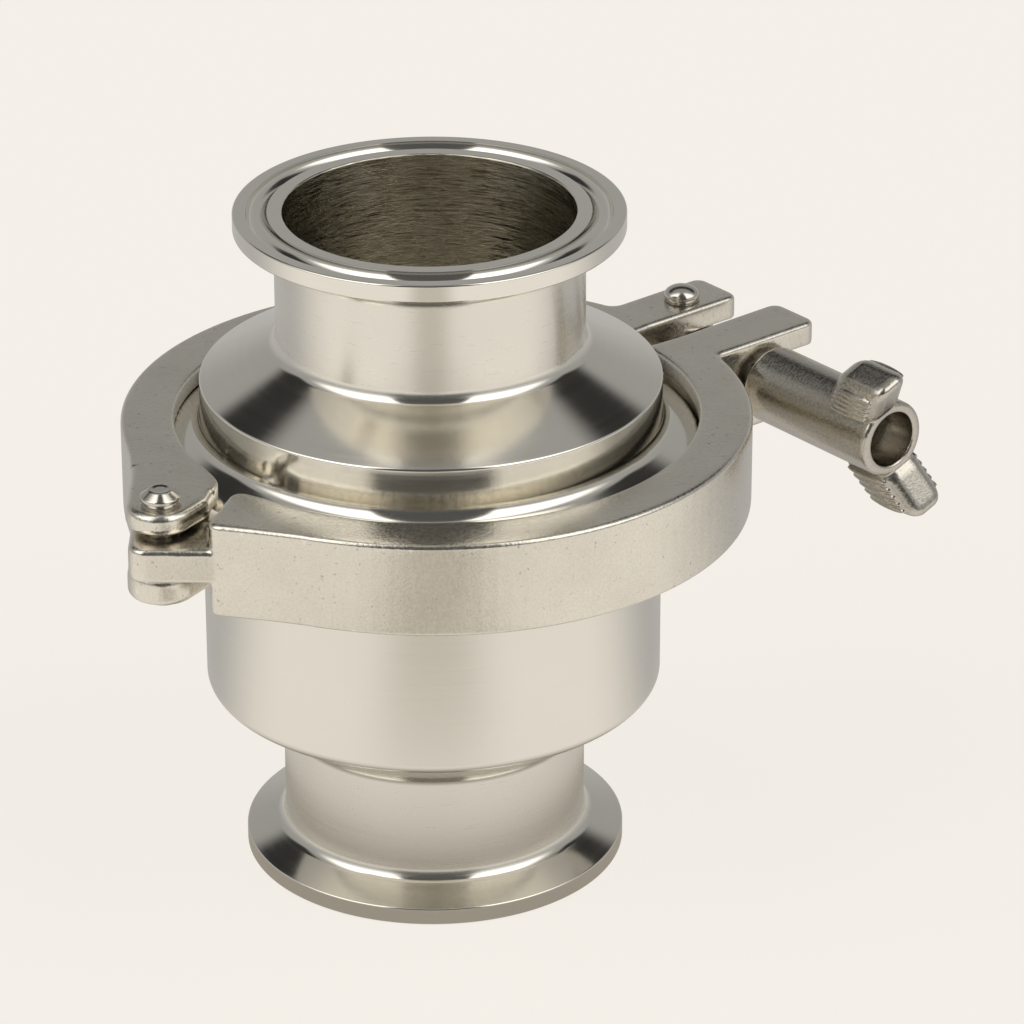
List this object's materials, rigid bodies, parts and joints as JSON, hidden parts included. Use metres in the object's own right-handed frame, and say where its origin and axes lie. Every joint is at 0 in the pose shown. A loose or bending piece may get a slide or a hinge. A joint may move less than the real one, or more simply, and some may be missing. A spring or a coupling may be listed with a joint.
{
  "type": "non-return valve",
  "caption": "Hygienic in-line non-return valve: turned body halves in a hinged clamp with wing nut, and a sprung disc on a conical seat inside.",
  "frame": {"origin": "centre of the inlet ferrule's face, on the valve axis", "axes": "+Z along the flow, from the inlet to the outlet; +X to the right in the picture, on the side of the clamp's lugs"},
  "size_m": [0.1369, 0.1057, 0.115],
  "materials": {
    "turned_steel": "turned and polished stainless steel",
    "cast_steel": "cast and blasted stainless steel",
    "polished_steel": "polished stainless steel",
    "seal_rubber": "smooth moulded rubber",
    "bush_plastic": "turned white plastic"
  },
  "bodies": {
    "valve_body": {"lower_body": "turned_steel", "upper_body": "turned_steel", "body_gasket": "seal_rubber", "guide_spider": "turned_steel", "guide_bush": "bush_plastic", "valve_spring": "polished_steel", "clamp_rear_half": "cast_steel", "hinge_pin": "polished_steel", "bolt_pivot_pin": "polished_steel"},
    "plug": {"valve_disc": "turned_steel", "disc_seal_ring": "seal_rubber", "inlet_guide": "turned_steel", "valve_stem": "polished_steel", "stem_washer": "polished_steel", "stem_nut": "polished_steel"},
    "front_clamp": {"clamp_front_half": "cast_steel"},
    "eye_bolt": {"swing_bolt": "polished_steel"},
    "nut": {"wing_nut": "cast_steel"}
  },
  "joints": [
    {"name": "disc_lift", "type": "slide", "parent": "valve_body", "child": "plug", "axis": [0, 0, 1], "range_m": [0, 0.012], "stiffness_N_per_m": 250, "springref_m": -0.02, "deforming": ["valve_spring"]},
    {"name": "nut_travel", "type": "slide", "parent": "eye_bolt", "child": "nut", "axis": [0.6225, -0.7826, 0], "range_m": [0, 0.015]},
    {"name": "bolt_swing", "type": "hinge", "parent": "valve_body", "child": "eye_bolt", "pos_m": [0.0434, 0.04505, 0.0715], "axis": [0, 0, 1], "range_deg": [0, 50]},
    {"name": "front_half_open", "type": "hinge", "parent": "valve_body", "child": "front_clamp", "pos_m": [-0.04308, -0.03499, 0.0715], "axis": [0, 0, -1], "range_deg": [0, 3.5]}
  ],
  "couplings": [
    {"joint": "bolt_swing", "follows": "nut_travel", "rad_per_m": 58.17},
    {"joint": "front_half_open", "follows": "nut_travel", "rad_per_m": 4.07}
  ]
}
